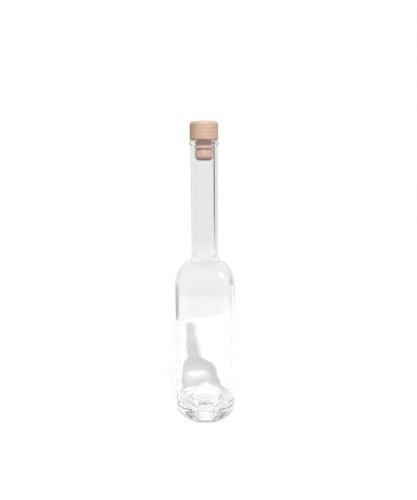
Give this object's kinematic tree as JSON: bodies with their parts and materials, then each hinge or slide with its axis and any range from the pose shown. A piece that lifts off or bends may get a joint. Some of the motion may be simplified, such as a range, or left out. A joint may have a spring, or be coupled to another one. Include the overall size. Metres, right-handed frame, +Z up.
{
  "type": "stoppered glass bottle",
  "caption": "Tall straight-necked clear glass bottle with a ball shoulder, rounded heel and a thick base with a domed punt, closed by a push-in stopper with a turned wooden head.",
  "frame": {"origin": "centre of the circle that the bottle stands on", "axes": "+Z up along the bottle's axis, towards the stopper; +X to the right and -Y towards the viewer"},
  "size_m": [0.06, 0.06, 0.2975],
  "materials": {
    "clear_glass": "clear, smooth, colourless blown glass",
    "pale_wood": "turned beech, sanded smooth, unvarnished",
    "beige_plastic": "satin moulded elastomer, cork coloured"
  },
  "bodies": {
    "bottle": {"glass_bottle": "clear_glass"},
    "stopper": {"stopper_head": "pale_wood", "stopper_shank": "beige_plastic"}
  },
  "joints": [
    {"name": "stopper_pull", "type": "slide", "parent": "bottle", "child": "stopper", "axis": [0, 0, 1], "range_m": [0, 0.045]}
  ]
}
